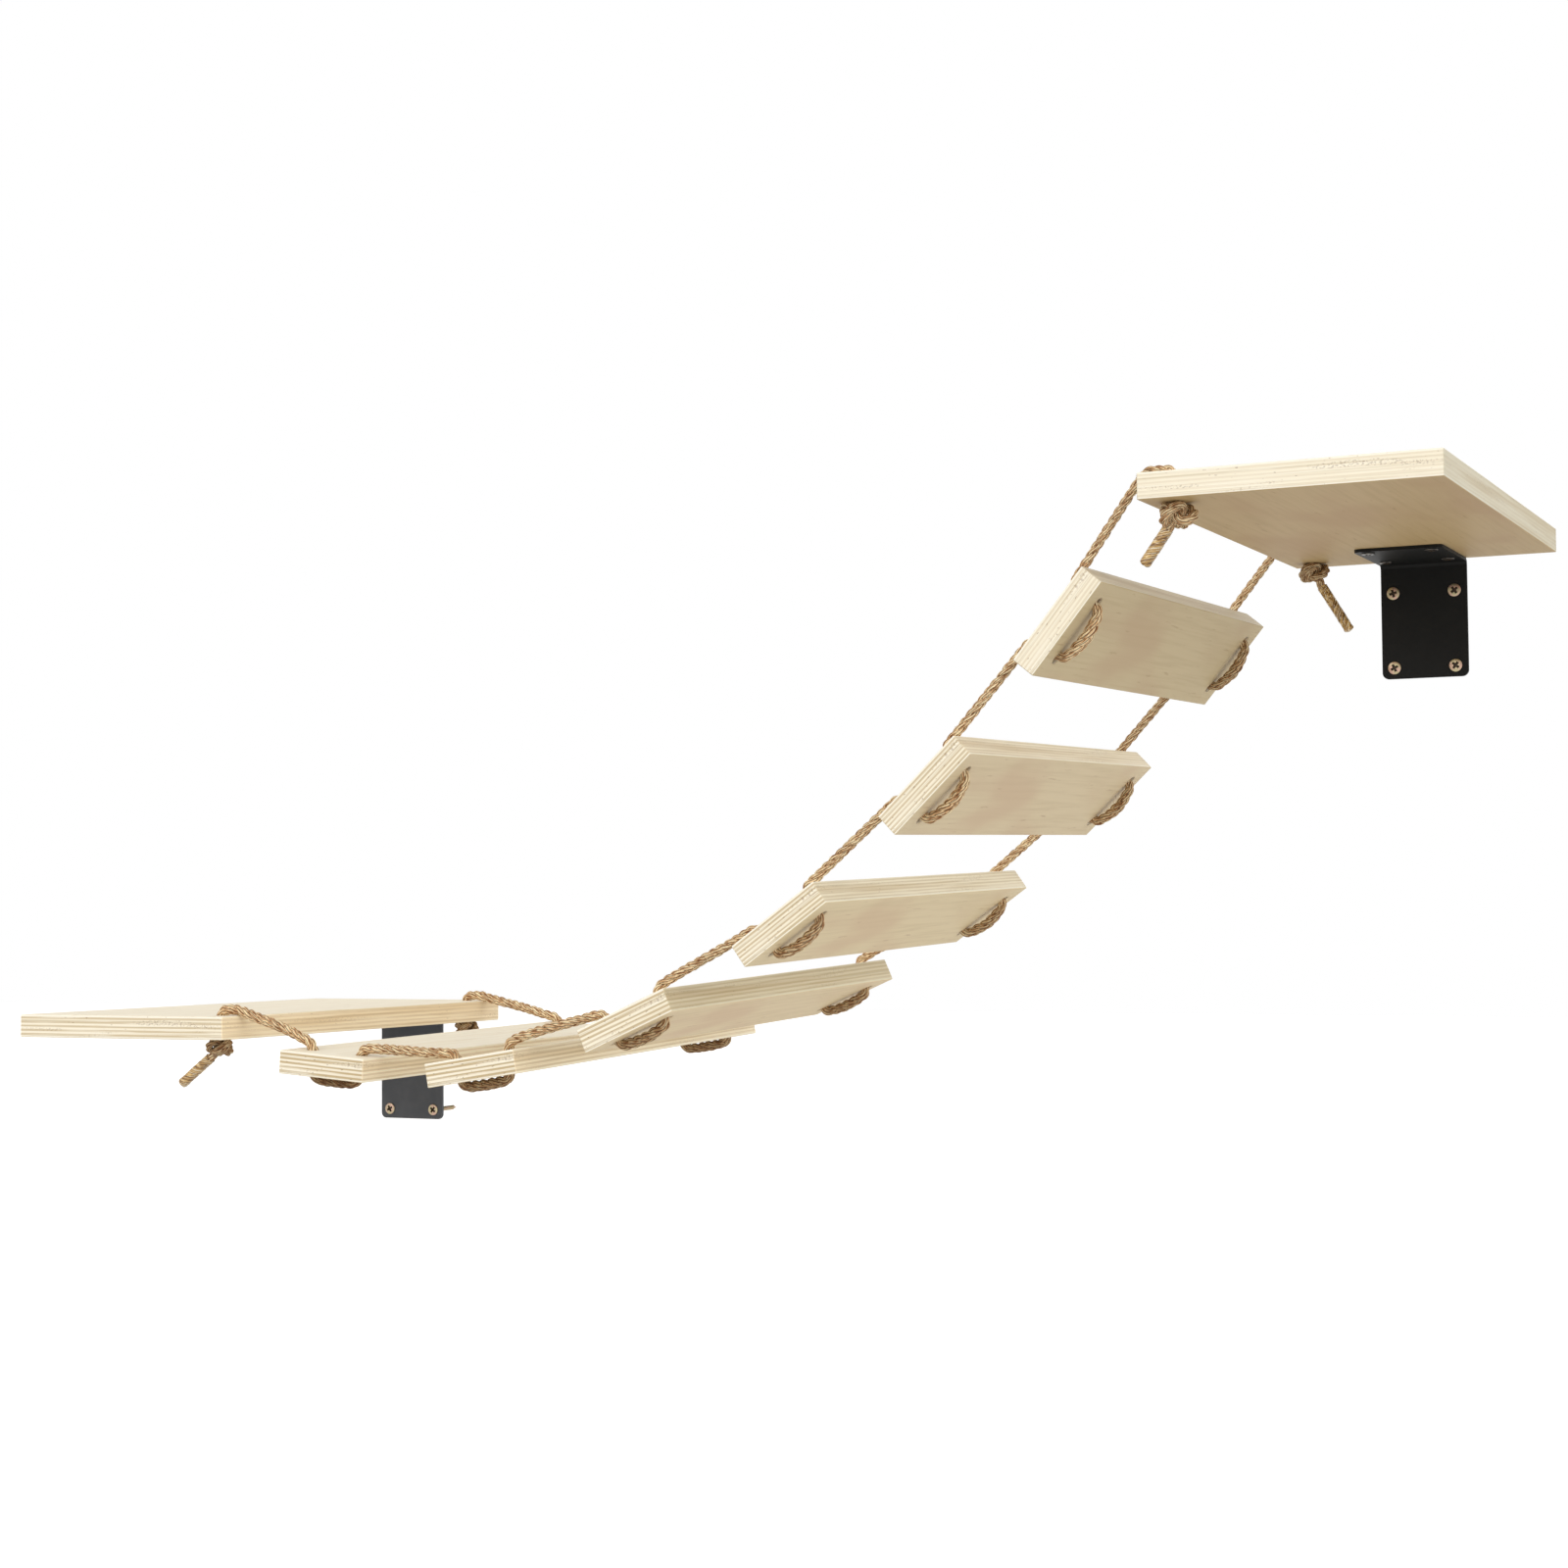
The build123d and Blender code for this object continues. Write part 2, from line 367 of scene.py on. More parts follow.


# Plywood: each board's number of plies, how strongly they show, the tint of its underside,
# which is painted shade, and the tint of its long edges: painted light above 1, painted shade below 1

board_looks = {
    "upper_platform": (13, 0.35, (0.62, 0.53, 0.38), (0.68, 0.72, 0.79)),
    "lower_platform": (11, 1.00, (1, 1, 1), (1.08, 1.05, 1.05)),
    "tread_1": (13, 0.50, (0.67, 0.65, 0.58), (0.67, 0.67, 0.70)),
    "tread_2": (13, 1.05, (0.82, 0.81, 0.79), (0.88, 0.90, 0.97)),
    "tread_3": (13, 1.15, (0.89, 0.88, 0.83), (0.83, 0.86, 0.93)),
    "tread_4": (11, 1.20, (0.93, 0.90, 0.84), (0.71, 0.71, 0.70)),
    "tread_5": (11, 1.35, (1, 1, 1), (1.04, 1.04, 1.08)),
    "tread_6": (11, 1.35, (1, 1, 1), (1.12, 1.13, 1.20)),
}
ply_edge_share = 0.16
ply_pale = paint(246, 236, 213)
ply_dark = paint(211, 192, 159)
ply_rim = paint(250, 243, 225)
ply_glue = paint(190, 172, 134)
ply_speck = paint(128, 92, 58)
veneer = paint(236, 217, 180)
veneer_streak = paint(214, 191, 150)
veneer_blush = paint(223, 195, 160)
veneer_mark = paint(186, 150, 112)
# Painted light: the tops get a paler veneer than the other faces, for the light from above
lit_top_veneer = paint(250, 239, 215)
side_shade = paint(255, 250, 238)
side_pale = paint(252, 239, 210)
side_pale_share = 0.45
side_rim = (1.0, 0.96, 0.80, 1.0)
side_rim_heights = (0.0022, 0.0005)
side_fade = (0.0008, 0.0002)
face_fade = (0.0007, 0.0002)
wood_gloss = (0.55, 0.3)
wood_bump = (0.0002, 0.35)

# Noises in the wood: how each is stretched, its scale, detail and roughness. Those that
# spots() shows go on with the levels that they fade in between and their share
ply_wave = ((1, 1, 1), 9.0, 2.0)
ply_wave_depth = 0.0004
glue_lines = ((0.12, 0.12, 46), 24.0, 3.0, 0.6)
glue_levels = (0.52, 0.66)
glue_least = 0.30
glue_gain = 0.35
bright_fibres = ((0.5, 0.5, 30), 31.0, 2.0, 0.5, 0.50, 0.66, 0.6)
dark_specks = ((1, 1, 3.4), 230.0, 1.0, 0.5, 0.70, 0.77, 0.75)
hatches = ((1, 1, 1.6), 520.0, 1.0, 0.5, 0.50, 0.62, 1.0)
hatch_clusters = ((0.22, 0.22, 3.2), 62.0, 2.0, 0.5, 0.58, 0.68, 0.40)
side_patches = ((1, 0.12, 5), 34.0, 3.0, 0.5, 0.48, 0.68, 0.4)
veneer_streaks = ((26, 1, 1), 8.0, 4.0, 0.6)
streak_levels = (0.42, 0.74)
streak_most = 0.55
veneer_blushes = ((2.0, 1, 1), 7.0, 2.0, 0.5, 0.47, 0.66, 0.75)
veneer_marks = ((9, 1, 1), 30.0, 2.0, 0.5, 0.66, 0.77, 0.42)


def tinted(tone, tint):
    """A tone with each of its parts made darker or lighter by a factor."""
    return tuple(min(1.0, part * factor) for part, factor in zip(tone, tint)) + (1.0,)


def ply_stops(count, strength):
    """Colour stops through a board: pale and dark plies by turns, the palest outermost."""
    dark = tuple(a + (b - a) * strength for a, b in zip(ply_pale, ply_dark))
    stops = []
    for number in range(count):
        outer = number in (0, count - 1)
        tone = ply_rim if outer else dark if number % 2 else ply_pale
        stops.append(((number + ply_edge_share) / count, tone))
        stops.append(((number + 1 - ply_edge_share) / count, tone))
    return stops


def edge_plies(finish, local, up, ply_count, strength):
    """A board's striped edge with its glue and specks, and the glue's noise."""
    wave = maths(finish, "SUBTRACT", noise(finish, local, *ply_wave), 0.5)
    bent = maths(finish, "MULTIPLY_ADD", wave, ply_wave_depth, up)
    height = maths(finish, "MULTIPLY_ADD", bent, 1 / board_thickness, 0.5)
    plies = ramp(finish, height, ply_stops(ply_count, strength))
    glue = noise(finish, local, *glue_lines)
    glue_share = between(finish, glue, *glue_levels, 0.0, glue_least + glue_gain * strength)
    plies = mixed(finish, glue_share, plies, ply_glue)
    plies = mixed(finish, spots(finish, local, bright_fibres), plies, ply_rim)
    plies = mixed(finish, spots(finish, local, dark_specks), plies, ply_speck)
    clusters = spots(finish, local, hatch_clusters)
    hatch = maths(finish, "MULTIPLY", clusters, spots(finish, local, hatches))
    return mixed(finish, hatch, plies, ply_speck), glue


def long_side(finish, local, up, plies, tint):
    """A board's long edge, cut along the grain: paler plies, patches and a pale rim below, times the
    board's tint, which is painted light above 1 and painted shade below 1.
    """
    shade = mixed(finish, spots(finish, local, side_patches), side_shade, veneer_streak)
    # The board's tint: painted light where above 1, painted shade where below 1
    shade = mixed(finish, 1.0, shade, (*tint, 1.0), "MULTIPLY")
    plain = mixed(finish, side_pale_share, plies, side_pale)
    rim = between(finish, up, *(height - board_half for height in side_rim_heights))
    return mixed(finish, 1.0, mixed(finish, rim, plain, side_rim), shade, "MULTIPLY")


def veneer_face(finish, local, up, tint):
    """A board's faces: painted light on top as a paler veneer, painted shade below as a darker tint, and
    the noise of their streaks.
    """
    streak = noise(finish, local, *veneer_streaks)
    streak_share = between(finish, streak, *streak_levels, 0.0, streak_most)
    # Painted shade: the underside's tint darkens the veneer, its streaks, blushes and marks
    face = mixed(finish, streak_share, tinted(veneer, tint), tinted(veneer_streak, tint))
    face = mixed(finish, spots(finish, local, veneer_blushes), face, tinted(veneer_blush, tint))
    # Painted light: the top face takes the paler veneer
    lit_top_face = mixed(finish, streak_share, lit_top_veneer, veneer)
    face = mixed(finish, between(finish, up, 0.0, board_half / 2), face, lit_top_face)
    face = mixed(finish, spots(finish, local, veneer_marks), face, tinted(veneer_mark, tint))
    return face, streak


def plywood(name, place, width, looks):
    """Plywood about a board's middle: striped plies on its edges, veneer on its faces."""
    # The underside's tint is painted shade; the long edges' tint paints light on some boards and shade on
    # others
    ply_count, strength, underside_shade, edge_light_and_shade = looks
    finish, shader = new_material(name)
    centred = add(finish, "Mapping", vector_type="TEXTURE")
    join(finish, on_object(finish), centred.inputs["Vector"])
    centred.inputs["Location"].default_value = place.to_translation()
    centred.inputs["Rotation"].default_value = place.to_euler("XYZ")
    local = centred.outputs[0]
    across, _, up = parts_of(finish, local)
    plies, glue = edge_plies(finish, local, up, ply_count, strength)
    sides = long_side(finish, local, up, plies, edge_light_and_shade)
    out = maths(finish, "ABSOLUTE", across)
    side = between(finish, out, *(width / 2 - inset for inset in side_fade))
    face, streak = veneer_face(finish, local, up, underside_shade)
    high = maths(finish, "ABSOLUTE", up)
    flat = between(finish, high, *(board_half - inset for inset in face_fade))
    tone = mixed(finish, flat, mixed(finish, side, plies, sides), face)
    colour(finish, shader, tone, *wood_gloss)
    bump(finish, shader, mixed(finish, flat, glue, streak), *wood_bump)
    return finish


def tread_place(number):
    """Where tread `number` hangs, counted from 0 at the top."""
    along = lower_edge + tread_along_shares[number] * platform_gap
    up = lower_top + tread_up_shares[number] * platform_rise
    place = Matrix.Translation((along, board_middle, up)) @ turned(tread_yaws[number], "Z")
    return place @ turned(tread_rolls[number], "X") @ turned(-tread_pitches[number], "Y")


def on_tread(number, side, along, up):
    """A place where a rope passes a tread, along its slope and above its middle."""
    return tread_place(number) @ Vector((along, rope_offsets[side], up))


def dress(name, finish):
    """Gives a CAD node a finish."""
    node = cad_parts[name]
    node.data.materials.clear()
    node.data.materials.append(finish)


def dress_boards():
    """Gives every board its plywood, turned and placed as the board is."""
    places = {}
    for name, along, top in (("lower", lower_middle, lower_top), ("upper", upper_middle, upper_top)):
        middle = Matrix.Translation((along, board_middle, top - board_half))
        places[f"{name}_platform"] = (middle, platform_width)
    for number in range(tread_count):
        places[f"tread_{number + 1}"] = (tread_place(number), tread_width)
    for name, (place, width) in places.items():
        dress(name, plywood(f"{name}_plywood", place, width, board_looks[name]))


# Bracket coat

coat_cloud = ((1, 1, 1), 60.0, 3.0, 0.5, 0.35, 0.7, 1.0)
coat_pale_tint = (1.12, 1.12, 1.12)
coat_gloss = (0.5, 0.12)
coat_peel = ((1, 1, 1), 1400.0, 2.0)
coat_bump = (0.00012, 0.5)
# One black coat on both brackets; the lower one's grey is painted light, a lit copy of the coat
coat_black_and_lit_grey = {"upper": paint(26, 26, 25), "lower": paint(88, 90, 94)}


def bracket_coat(name, tone):
    """A satin powder coat: a cloud of a paler tone, and a fine orange peel."""
    finish, shader = new_material(name)
    local = on_object(finish)
    coat = mixed(finish, spots(finish, local, coat_cloud), tone, tinted(tone, coat_pale_tint))
    colour(finish, shader, coat, *coat_gloss)
    bump(finish, shader, noise(finish, local, *coat_peel), *coat_bump)
    return finish


def dress_brackets():
    """Gives both brackets their coats: one black coat, with painted light making the lower one grey."""
    for level, tone in coat_black_and_lit_grey.items():
        dress(f"{level}_bracket", bracket_coat(f"{level}_bracket_coat", tone))


# Jute rope

# The darkest jute: the colour of its dark flecks, and painted shade in its yarn grooves and strand gaps
jute_fleck_and_gap_shade = paint(62, 36, 18)
jute_deep = paint(146, 98, 58)
jute_mid = paint(222, 176, 126)
jute_straw = paint(255, 234, 190)
jute_stops = ((0.39, jute_deep), (0.47, jute_mid), (0.56, jute_straw))
jute_streaks = ((1, 6, 1), 1.8, 3.0, 0.6)
jute_clumps = ((1, 2, 1), 1.1, 2.0, 0.5, 0.48, 0.75, 0.4)
jute_flecks = ((1, 5, 1), 5.5, 2.0, 0.6, 0.64, 0.72, 0.6)
jute_hairs = ((1, 14, 1), 3.0, 3.0, 0.7)
jute_gloss = (0.72, 0.3)
jute_bump = (0.0005, 1.0)
# Painted shade between the yarns and where the strands meet: the levels at which it fades in
yarn_groove_shade = (-1.0, -0.1, 0.75, 0.0)
strand_gap_shade = (0.56, 0.80)
# The tint that painted shade multiplies the rope by
loop_shade_tint = (0.39, 0.32, 0.25, 1.0)


def jute():
    """Twisted jute: streaks along its fibres and dark flecks, with painted shade between its yarns, where
    the strands meet, and on its shaded loops, runs and knots.
    """
    finish, shader = new_material("jute_rope")
    lay = add(finish, "UVMap", uv_map="fibre").outputs[0]
    depth = add(finish, "Attribute", attribute_name="lay_depth").outputs["Fac"]
    tone = ramp(finish, noise(finish, lay, *jute_streaks), jute_stops)
    tone = mixed(finish, spots(finish, lay, jute_clumps), tone, jute_deep)
    tone = mixed(finish, spots(finish, lay, jute_flecks), tone, jute_fleck_and_gap_shade)
    yarn_turn = maths(finish, "MULTIPLY", parts_of(finish, lay)[1], math.tau * yarn_count)
    # Painted shade in the grooves between the yarns and in the gaps where the strands meet
    groove_shade = between(finish, maths(finish, "COSINE", yarn_turn), *yarn_groove_shade)
    tone = mixed(finish, groove_shade, tone, jute_fleck_and_gap_shade)
    tone = mixed(finish, between(finish, depth, *strand_gap_shade), jute_fleck_and_gap_shade, tone)
    # Painted shade on the loops under the treads, on the back rope's highest run and on the knots
    shade = add(finish, "Attribute", attribute_name="loop_shade").outputs["Fac"]
    tone = mixed(finish, shade, tone, mixed(finish, 1.0, tone, loop_shade_tint, "MULTIPLY"))
    colour(finish, shader, tone, *jute_gloss)
    bump(finish, shader, noise(finish, lay, *jute_hairs), *jute_bump)
    return finish


def threading(number, side):
    """A rope's points through one tread, from its raised edge to its low one."""
    pulled = (rope_hole_diameter - rope_diameter) / 2 - rope_seat_gap
    hole = rope_hole_spacing / 2 - pulled
    bend = hole - loop_side_inset
    edge = hole + rope_edge_reach
    points = [
        (edge, board_half + rope_entry_lifts[number]),
        (hole, board_half + rope_lift),
        (hole, -board_half - loop_turn_drop),
        (bend, -board_half - loop_side_drops[number]),
        (0, -board_half - loop_middle_drops[number]),
        (-bend, -board_half - loop_side_drops[number]),
        (-hole, -board_half - loop_turn_drop),
        (-hole, board_half + rope_lift),
        (-edge, board_half + rope_exit_lifts[number]),
    ]
    return [on_tread(number, side, along, up) for along, up in points]


# Each rope's own points beyond the treads, from the facing platform's top edge: how far
# along the wall and how far above the top
upper_run = ((0.020, -0.018), (0.020, 0.0034), (0.010, 0.0047), (-0.0008, 0.0046), (-0.006, -0.0016))
lower_starts = {
    "front": ((0.056, -0.0155), (0.040, -0.0086), (0.022, -0.0034), (0.0084, 0.0009), (-0.0026, 0.0046)),
    "back": ((0.063, -0.0115), (0.046, -0.0068), (0.028, -0.0026), (0.009, 0.0014), (-0.003, 0.0046)),
}
lower_run = ((-0.011, 0.005), (-0.020, 0.0034), (-0.020, -0.018))


def route(side):
    """The points that one rope follows, from the upper knot to the lower one."""
    y = rope_sides[side]
    points = [Vector((upper_edge + along, y, upper_top + up)) for along, up in upper_run]
    for number in range(tread_count):
        points += threading(number, side)
    points.pop()
    for along, up in lower_starts[side] + lower_run:
        points.append(Vector((lower_edge + along, y, lower_top + up)))
    return points


def spaced(line, step):
    """Points a step apart along a line, from its start."""
    made = [line[0].copy()]
    left = step
    for first, second in zip(line, line[1:]):
        run = (second - first).length
        while run > left:
            made.append(first.lerp(second, left / run))
            left += step
        left -= run
    return made


def rope_line(points):
    """The smooth line of a rope whose route has these points."""
    curve = bpy.data.curves.new("rope_route", "CURVE")
    curve.dimensions = "3D"
    curve.resolution_u = line_resolution
    spline = curve.splines.new("NURBS")
    spline.points.add(len(points) - 1)
    for control, point in zip(spline.points, points):
        control.co = (*point, 1.0)
    spline.order_u = 3
    spline.use_endpoint_u = True
    holder = bpy.data.objects.new("rope_route", curve)
    mesh = bpy.data.meshes.new_from_object(holder)
    line = [vertex.co.copy() for vertex in mesh.vertices]
    bpy.data.objects.remove(holder)
    bpy.data.meshes.remove(mesh)
    bpy.data.curves.remove(curve)
    return spaced(line, rope_step)


def carried_frames(line):
    """Each point's direction and two directions square to it, turned as little as can be."""
    frames = []
    heading = (line[1] - line[0]).normalized()
    normal = heading.orthogonal().normalized()
    for index in range(len(line)):
        before = line[max(index - 1, 0)]
        after = line[min(index + 1, len(line) - 1)]
        ahead = (after - before).normalized()
        normal = (heading.rotation_difference(ahead) @ normal).normalized()
        normal = (normal - ahead * normal.dot(ahead)).normalized()
        heading = ahead
        frames.append((heading, normal, heading.cross(normal)))
    return frames


def wobble(size, waves, travel, phase):
    """How far a strand strays at a point of the rope."""
    return size * math.sin(travel * waves + phase)


def strand_rings(line, widths, chance):
    """Every strand's rings along a line: each ring's points and how far out they lie."""
    frames = carried_frames(line)
    phases = [chance.uniform(0, math.tau) for _ in range(strand_count)]
    strands = []
    for strand, phase in enumerate(phases):
        rings = []
        for index, (point, width) in enumerate(zip(line, widths)):
            heading, normal, side = frames[index]
            travel = index * rope_step
            turn = math.tau * (travel / lay_length + strand / strand_count)
            turn += wobble(*turn_wobble, travel, phase)
            offset = width * strand_offset_share * (1.0 + wobble(*offset_wobble, travel, 2 * phase))
            out = normal * math.cos(turn) + side * math.sin(turn)
            around = side * math.cos(turn) - normal * math.sin(turn)
            lead = (heading + around * (math.tau * offset / lay_length)).normalized()
            across = lead.cross(out)
            radius = (width / 2 - offset) * (1.0 + wobble(*width_wobble, travel, phase))
            middle = point + out * offset
            ring = []
            for step in range(strand_sides):
                share = step / strand_sides
                angle = math.pi + math.tau * (share - travel / yarn_turn_length)
                reach = radius * (1 + yarn_relief * math.cos(math.tau * yarn_count * share))
                place = middle + (out * math.cos(angle) + across * math.sin(angle)) * reach
                ring.append((place, (place - point).length / (width / 2)))
            rings.append((ring, travel))
        strands.append(rings)
    return strands


def placed(name, data):
    """A new object in the scene."""
    made = bpy.data.objects.new(name, data)
    bpy.context.scene.collection.objects.link(made)
    return made


def tube_faces(base, rings, sides):
    """A tube's faces from ring to ring, and then its two ends."""
    faces = []
    end = base + (rings - 1) * sides
    for low in range(base, end, sides):
        high = low + sides
        for step in range(sides):
            following = (step + 1) % sides
            faces.append((low + step, low + following, high + following, high + step))
    return faces + [tuple(reversed(range(base, base + sides))), tuple(range(end, end + sides))]


def stray_fibres(chance, strands, count, vertices, faces, depths, uvs):
    """Adds loose fibres that stand a little off the strands."""
    for _ in range(count):
        rings = chance.choice(strands)
        room = len(rings) - fibre_end_room
        index = chance.randrange(1, room) if room > 2 else 1
        step = chance.randrange(strand_sides)
        span = min(chance.randint(*fibre_spans), len(rings) - 1 - index)
        root = rings[index][0][step][0]
        drift = chance.randint(-fibre_drift, fibre_drift)
        tip = rings[index + span][0][(step + drift) % strand_sides][0]
        middle = sum((place for place, _ in rings[index][0]), Vector()) / strand_sides
        out = (root - middle).normalized()
        along = tip - root
        across = out.cross(along.normalized())
        lift = chance.uniform(*fibre_lifts)
        curl = across * chance.uniform(-fibre_curl, fibre_curl)
        thick = chance.uniform(*fibre_thicknesses)
        made = tube_faces(len(vertices), fibre_rings, fibre_sides)
        for part in range(fibre_rings):
            share = part / (fibre_rings - 1)
            place = root + along * share + out * (lift * share ** fibre_lift_power) + curl * share * share
            for corner in range(fibre_sides):
                angle = math.tau * corner / fibre_sides
                rim = out * math.cos(angle) + across * math.sin(angle)
                vertices.append(place + rim * thick * (fibre_root_share - share * fibre_taper))
                depths.append(1.0)
        tone = chance.uniform(0, fibre_map_spread)
        faces += made
        uvs += [[(tone, tone)] * len(face) for face in made]


def rope_piece(name, strands, first, last, fibres, chance, shades=None):
    """One mesh of all strands between two rings, with its loose fibres."""
    vertices, faces, depths, uvs, darks = [], [], [], [], []
    kept = [rings[first:last + 1] for rings in strands]
    for number, rings in enumerate(kept):
        faces += tube_faces(len(vertices), len(rings), strand_sides)
        for row, (ring, _) in enumerate(rings):
            darks += [shades[first + row] if shades else 0.0] * strand_sides
            vertices += [place for place, _ in ring]
            depths += [depth for _, depth in ring]
        for (_, near), (_, far) in zip(rings, rings[1:]):
            for step in range(strand_sides):
                corners = ((near, step), (near, step + 1), (far, step + 1), (far, step))
                uvs.append([
                    (travel * lay_map_scale, turn / strand_sides + number * strand_map_gap)
                    for travel, turn in corners
                ])
        uvs += [[(0.0, 0.0)] * strand_sides] * 2
    stray_fibres(chance, kept, fibres, vertices, faces, depths, uvs)
    mesh = bpy.data.meshes.new(name)
    mesh.from_pydata([tuple(place) for place in vertices], [], faces)
    layer = mesh.uv_layers.new(name="fibre")
    for loop, place in zip(layer.data, (corner for face in uvs for corner in face)):
        loop.uv = place
    darks += [0.0] * (len(vertices) - len(darks))
    for attribute, values in (("lay_depth", depths), ("loop_shade", darks)):
        mesh.attributes.new(attribute, "FLOAT", "POINT").data.foreach_set("value", values)
    mesh.polygons.foreach_set("use_smooth", [True] * len(mesh.polygons))
    mesh.update()
    piece = placed(name, mesh)
    piece.data.materials.append(jute_finish)
    return piece


def nearest(line, place):
    """The number of the line's point that is nearest to a place."""
    return min(range(len(line)), key=lambda index: (line[index] - place).length)


def rope_widths(line, loops):
    """How thick the rope looks at each point: tight above, slack below, full in its loops."""
    widths = []
    for index in range(len(line)):
        width = tight_width + (slack_width - tight_width) * index / len(line)
        near = min(abs(index - loop) for loop in loops) * rope_step
        widths.append(width + (loop_width - width) * math.exp(-((near / loop_spread) ** 2)))
    return widths


def rope_shades(side, line, loops):
    """How much painted shade darkens the rope at each point: in its loops, and high up by the wall."""
    shades = []
    for index in range(len(line)):
        near, number = min((abs(index - loop) * rope_step, number) for number, loop in enumerate(loops))
        shade = loop_shades[side][number] * min(1.0, max(0.0, 2 - 2 * near / loop_reach))
        if side == "back" and loops[0] <= index < loops[1]:
            shade = max(shade, back_run_shade)
        shades.append(shade)
    return shades


def run_length(line):
    """How long a line is."""
    return sum((second - first).length for first, second in zip(line, line[1:]))


def rope(side):
    """One rope in pieces that meet between the treads and under each of them."""
    chance = random.Random(rope_seeds[side])
    line = rope_line(route(side))
    holes, loops = [], []
    half = rope_hole_spacing / 2
    for n in range(tread_count):
        holes.append([on_tread(n, side, along, board_half) for along in (half, -half)])
        loops.append(nearest(line, on_tread(n, side, 0, -board_half - loop_middle_drops[n])))
    upper_corner = Vector((upper_edge, rope_sides[side], upper_top))
    lower_corner = Vector((lower_edge, rope_sides[side], lower_top))
    starts = [upper_corner] + [out for _, out in holes]
    stops = [into for into, _ in holes] + [lower_corner]
    spans = [nearest(line, (start + stop) / 2) for start, stop in zip(starts, stops)]
    strands = strand_rings(line, rope_widths(line, loops), chance)
    shades = rope_shades(side, line, loops)

    def piece(name, first, last, held, hanging, start, stop, with_pieces=()):
        """One stretch of the rope, from one body to the next."""
        fibres = (last - first) * fibres_per_step
        made = rope_piece(f"rope_{side}_{name}", strands, first, last, fibres, chance, shades)
        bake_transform(made)
        return made

    first = piece(
        "upper_end", 0, spans[0], "wall_side", "bridge_ropes",
        upper_corner, line[spans[0]], rope_end(f"upper_{side}"),
    )
    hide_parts(f"rope_{side}")
    for n in range(tread_count):
        body = f"hanging_tread_{n + 1}"
        piece(
            f"into_tread_{n + 1}", spans[n], loops[n], "bridge_ropes", body,
            line[spans[n]], holes[n][0],
        )
        piece(
            f"out_of_tread_{n + 1}", loops[n], spans[n + 1], body, "bridge_ropes",
            holes[n][1], line[spans[n + 1]],
        )
    piece(
        "lower_end", spans[-1], len(line) - 1, "bridge_ropes", "wall_side",
        line[spans[-1]], lower_corner, rope_end(f"lower_{side}"),
    )
    print(side, "rope", round(run_length(line), 4))


# Stopper knots, and the taped tails below them

def tail_heading(name):
    """Which way a tail hangs from its knot."""
    swing = math.radians(rope_ends[name][-1])
    return Vector((math.sin(swing), 0, -math.cos(swing)))


def knot_middle(name):
    """The middle of a stopper knot, close under its platform's rope hole."""
    level, side = name.split("_")
    drop = rope_seat_gap + knot_core - knot_flat
    if level == "upper":
        return Vector((upper_edge + platform_hole_inset, rope_sides[side], upper_underside - drop))
    return Vector((lower_edge - platform_hole_inset, rope_sides[side], lower_underside - drop))


def knot_points(name):
    """The rope's points into a knot, over and through its ball, and along its tail."""
    start_bearing, size, _, reach, _ = rope_ends[name]
    lift = (1 - size) * knot_height / 2
    points = [Vector((0, 0, knot_lead)), Vector((0, 0, knot_lead / 2))]
    for step in range(knot_turns * knot_turn_steps + 1):
        turns = step / knot_turn_steps
        wrap = math.tau * turns
        out = size * (knot_ring - knot_wrap * math.cos(wrap))
        out *= min(1.0, knot_start_share + turns)
        bearing = start_bearing + wrap * knot_advance_share
        rise = lift - size * knot_rise * math.sin(wrap)
        points.append(Vector((out * math.cos(bearing), out * math.sin(bearing), rise)))
    inner = reach - tape_end_wall
    points += [tail_heading(name) * (inner * share) for share in tail_shares]
    middle = knot_middle(name)
    return [middle + point for point in points]


def knot_and_tail(name):
    """A knot and the rope's end below it, as two pieces that meet inside the knot."""
    chance = random.Random(name)
    line = rope_line(knot_points(name))
    middle = knot_middle(name)
    tail_start = knot_core - tail_grip
    split = max(index for index, point in enumerate(line) if (point - middle).length < tail_start)
    _, size, shade, _, _ = rope_ends[name]
    wound_width = knot_rope_width * size
    widths = []
    for index in range(len(line)):
        past = min(1.0, max(0.0, (index - split) * rope_step / tail_ease))
        widths.append(wound_width + (tail_width - wound_width) * past)
    strands = strand_rings(line, widths, chance)
    ceiling = middle.z + knot_core - knot_flat + rope_seat_gap - knot_clearance
    for rings in strands:
        for ring, _ in rings:
            for place, _ in ring:
                place.z = min(place.z, ceiling)
    # The knot's painted shade, the same all through it
    shades = [shade] * len(line)
    made = rope_piece(f"{name}_wound_knot", strands, 0, split, knot_fibres, chance, shades)
    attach(made, "wall_side")
    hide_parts(f"{name}_knot")
    tail = rope_piece(f"{name}_rope_tail", strands, split, len(line) - 1, tail_fibres, chance)
    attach(tail, "wall_side")
    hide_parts(f"{name}_rope_end")
    return [made, tail]


# Clear tape

tape_deep = paint(84, 54, 20)
tape_amber = paint(158, 116, 58)
tape_pale = paint(232, 196, 126)
tape_painted_glint = paint(255, 250, 226)
tape_stops = ((0.40, tape_deep), (0.49, tape_amber), (0.60, tape_pale))
tape_streaks = ((0.9, 0.5, 1), 1.5, 3.0, 0.6)
tape_painted_glints = ((1.3, 0.9, 1), 2.0, 2.0, 0.6, 0.58, 0.63, 1.0)
tape_crumples = ((1, 1, 1), 420.0, 1.0)
tape_gloss = (0.35, 0.3)
tape_film = {"Coat Weight": 0.6, "Coat Roughness": 0.06}
tape_bump = (0.0004, 0.4)


